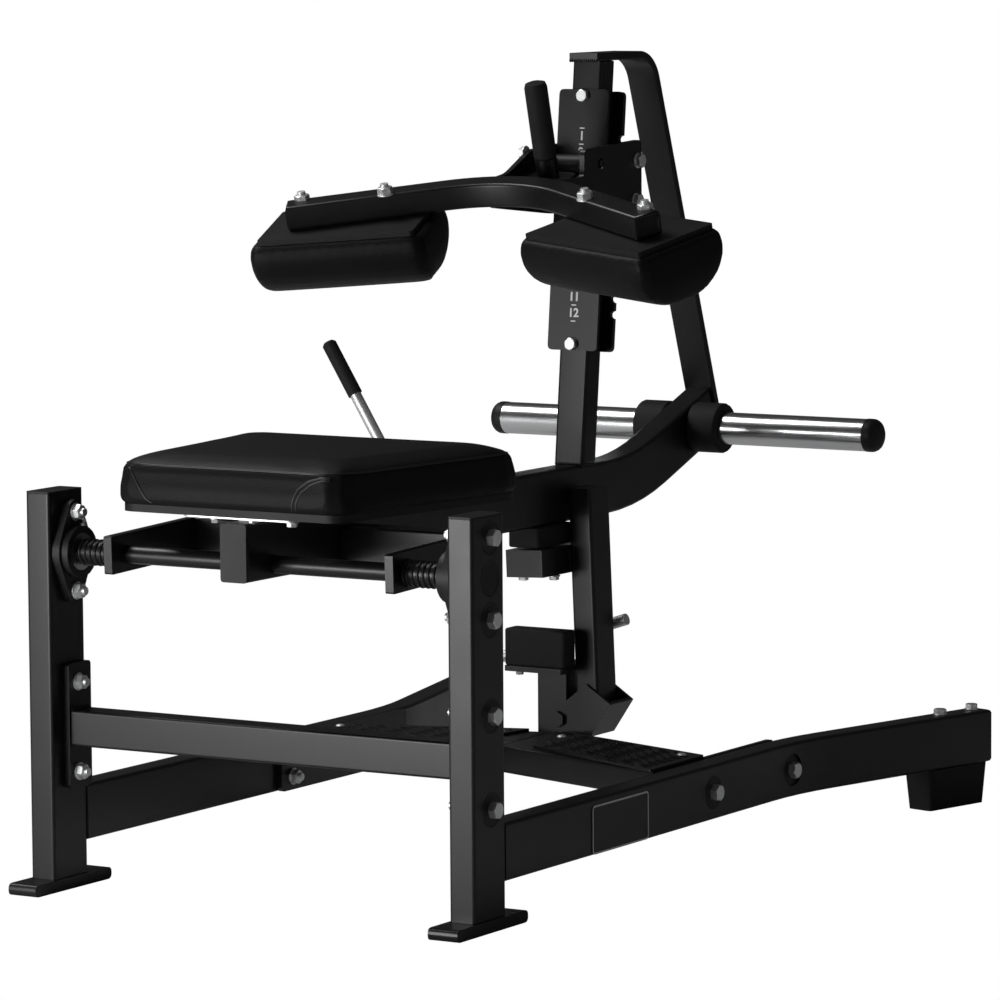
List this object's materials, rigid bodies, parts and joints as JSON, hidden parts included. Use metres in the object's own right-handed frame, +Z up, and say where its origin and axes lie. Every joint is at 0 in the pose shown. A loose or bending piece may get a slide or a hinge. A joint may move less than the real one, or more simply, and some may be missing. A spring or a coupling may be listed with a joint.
{
  "type": "seated calf raise machine",
  "caption": "Plate loaded seated calf raise machine with a hinged arm, seat, height adjustable thigh pads, catch lever, weight horns and V shaped footrest.",
  "frame": {"origin": "middle of the machine's footprint box, on the floor", "axes": "+Z up, +Y from the seat towards the weight horns, +X to the seated user's right"},
  "size_m": [0.94, 1.388, 1.143],
  "materials": {
    "black_paint": "satin black powder coat",
    "black_plastic": "moulded black plastic",
    "black_rubber": "matte black rubber",
    "zinc": "bright zinc plate",
    "bright_steel": "ground steel",
    "cast_black": "painted casting",
    "chrome": "polished chrome plate",
    "black_vinyl": "matte black vinyl upholstery",
    "board": "dark stained plywood",
    "number_face": "black plate with printed white numerals"
  },
  "bodies": {
    "base": {"upright_right": "black_paint", "upright_left": "black_paint", "upright_cap_right": "black_plastic", "upright_cap_left": "black_plastic", "shoe_right": "black_paint", "shoe_left": "black_paint", "rear_crossbar": "black_paint", "base_rail_right": "black_paint", "base_rail_left": "black_paint", "front_foot_right": "black_rubber", "front_foot_left": "black_rubber", "footrest_frame_right": "black_paint", "footrest_frame_left": "black_paint", "foot_plate_right": "black_paint", "foot_plate_left": "black_paint", "stop_column": "black_paint", "stop_bumper": "black_rubber", "catch_pin": "black_paint", "bearing_housing_right": "cast_black", "bearing_housing_left": "cast_black"},
    "arm": {"bearing_ring_right": "bright_steel", "bearing_ring_left": "bright_steel", "shaft_spacer_right": "black_paint", "shaft_spacer_left": "black_paint", "pivot_shaft": "black_paint", "main_beam": "black_paint", "beam_cap": "black_plastic", "crossmember": "black_paint", "side_plate_right": "black_paint", "side_plate_left": "black_paint", "seat_bracket": "zinc", "seat_board": "board", "seat_cushion": "black_vinyl", "arm_bumper": "black_rubber", "weight_horn": "chrome", "horn_cap_right": "black_plastic", "horn_cap_left": "black_plastic", "horn_bumper_right": "black_rubber", "horn_bumper_left": "black_rubber", "mast": "black_paint", "number_plate": "number_face", "notch_plate": "black_paint", "mast_strap": "black_paint"},
    "pad_carriage": {"carriage_plate_right": "black_paint", "carriage_plate_left": "black_paint", "pad_yoke": "black_paint", "grip_post": "black_paint", "hand_grip": "black_rubber", "guide_pin_upper": "zinc", "guide_pin_lower": "zinc", "rear_roller": "black_plastic", "pad_board_right": "board", "pad_board_left": "board", "thigh_pad_right": "black_vinyl", "thigh_pad_left": "black_vinyl"},
    "catch": {"catch_post": "black_paint", "catch_foot": "black_paint", "catch_block": "black_paint", "catch_lever": "zinc", "lever_grip": "black_rubber"}
  },
  "joints": [
    {"name": "arm_pivot", "type": "hinge", "parent": "base", "child": "arm", "pos_m": [0, -0.599, 0.474], "axis": [1, 0, 0], "range_deg": [0, 15]},
    {"name": "pad_height", "type": "slide", "parent": "arm", "child": "pad_carriage", "axis": [0, 0.1035, 0.9946], "range_m": [-0.2365, 0.0236]},
    {"name": "catch_pivot", "type": "hinge", "parent": "base", "child": "catch", "pos_m": [0.016, 0.19, 0.163], "axis": [0, 1, 0], "range_deg": [0, 16]}
  ]
}
